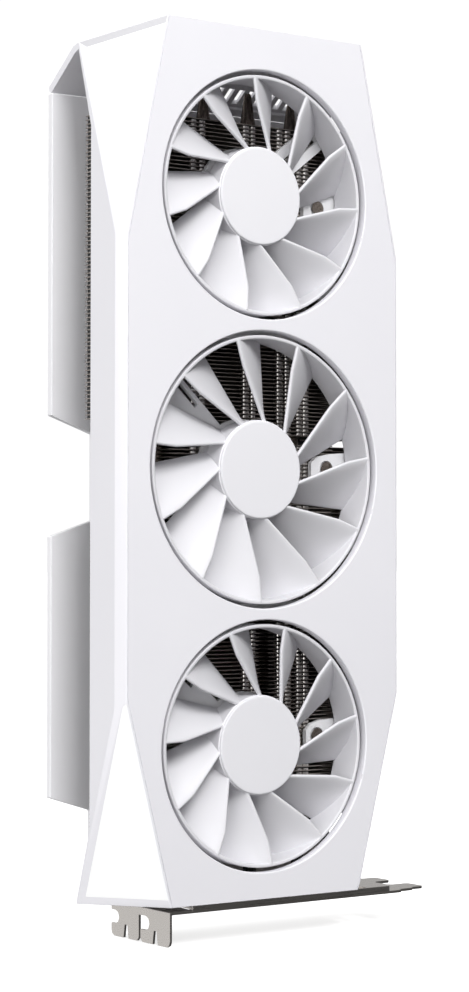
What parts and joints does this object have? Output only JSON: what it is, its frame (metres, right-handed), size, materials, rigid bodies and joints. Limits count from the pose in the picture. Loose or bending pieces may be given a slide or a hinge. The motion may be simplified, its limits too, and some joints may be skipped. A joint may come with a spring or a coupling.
{
  "type": "graphics card",
  "caption": "Dual-slot graphics card with a white faceted shroud over ringed cooling fans, finned heatsink, flat backplate and a steel connector bracket.",
  "frame": {"origin": "On the flat outer face of the connector bracket, half-way across the bracket's width, on the card's centre plane.", "axes": "+Z runs along the card from the bracket to its far end; +X points to the slot connector's edge; -Y is the fan face and +Y the backplate."},
  "size_m": [0.1458, 0.0503, 0.3309],
  "materials": {
    "shroud_white": "satin",
    "white_paint": "satin",
    "plated_steel": "satin",
    "plated_fins": "satin",
    "plated_copper": "satin",
    "board_laminate": "matte",
    "chip_resin": "matte",
    "silicon": "gloss",
    "ferrite": "matte",
    "winding": "satin",
    "socket_black": "matte"
  },
  "bodies": {
    "card": {"backplate": "white_paint", "choke_1": "ferrite", "choke_2": "ferrite", "choke_3": "ferrite", "choke_4": "ferrite", "choke_5": "ferrite", "circuit_board": "board_laminate", "cold_plate": "plated_copper", "fan_frame": "shroud_white", "fan_screw_low": "plated_steel", "fan_screw_mid": "plated_steel", "fan_screw_top": "plated_steel", "fins_low": "plated_fins", "fins_mid": "plated_fins", "fins_top": "plated_fins", "gpu_die": "silicon", "gpu_package": "board_laminate", "heat_pipe_1": "plated_copper", "heat_pipe_2": "plated_copper", "heat_pipe_3": "plated_copper", "heat_pipe_4": "plated_copper", "io_bracket": "plated_steel", "memory_1": "chip_resin", "memory_2": "chip_resin", "memory_3": "chip_resin", "memory_4": "chip_resin", "memory_5": "chip_resin", "memory_6": "chip_resin", "motor_base_low": "shroud_white", "motor_base_mid": "shroud_white", "motor_base_top": "shroud_white", "plate_screw_1": "plated_steel", "plate_screw_2": "plated_steel", "plate_screw_3": "plated_steel", "plate_screw_4": "plated_steel", "power_socket_1": "socket_black", "power_socket_2": "socket_black", "shroud": "shroud_white", "spring_plate": "plated_steel", "spring_screw_1": "plated_steel", "spring_screw_2": "plated_steel", "spring_screw_3": "plated_steel", "spring_screw_4": "plated_steel", "stator_low": "winding", "stator_mid": "winding", "stator_top": "winding", "video_socket_1": "plated_steel", "video_socket_2": "plated_steel", "video_socket_3": "plated_steel", "video_socket_4": "plated_steel"},
    "rotor_low": {"impeller_low": "shroud_white", "shaft_low": "plated_steel", "rotor_magnet_low": "ferrite"},
    "rotor_mid": {"impeller_mid": "shroud_white", "shaft_mid": "plated_steel", "rotor_magnet_mid": "ferrite"},
    "rotor_top": {"impeller_top": "shroud_white", "shaft_top": "plated_steel", "rotor_magnet_top": "ferrite"}
  },
  "joints": [
    {"name": "fan_low_spin", "type": "hinge", "parent": "card", "child": "rotor_low", "pos_m": [0, -0.02327, 0.0589], "axis": [0, -1, 0], "continuous": true},
    {"name": "fan_mid_spin", "type": "hinge", "parent": "card", "child": "rotor_mid", "pos_m": [0, -0.02327, 0.1589], "axis": [0, -1, 0], "continuous": true},
    {"name": "fan_top_spin", "type": "hinge", "parent": "card", "child": "rotor_top", "pos_m": [0, -0.02327, 0.259], "axis": [0, -1, 0], "continuous": true}
  ]
}
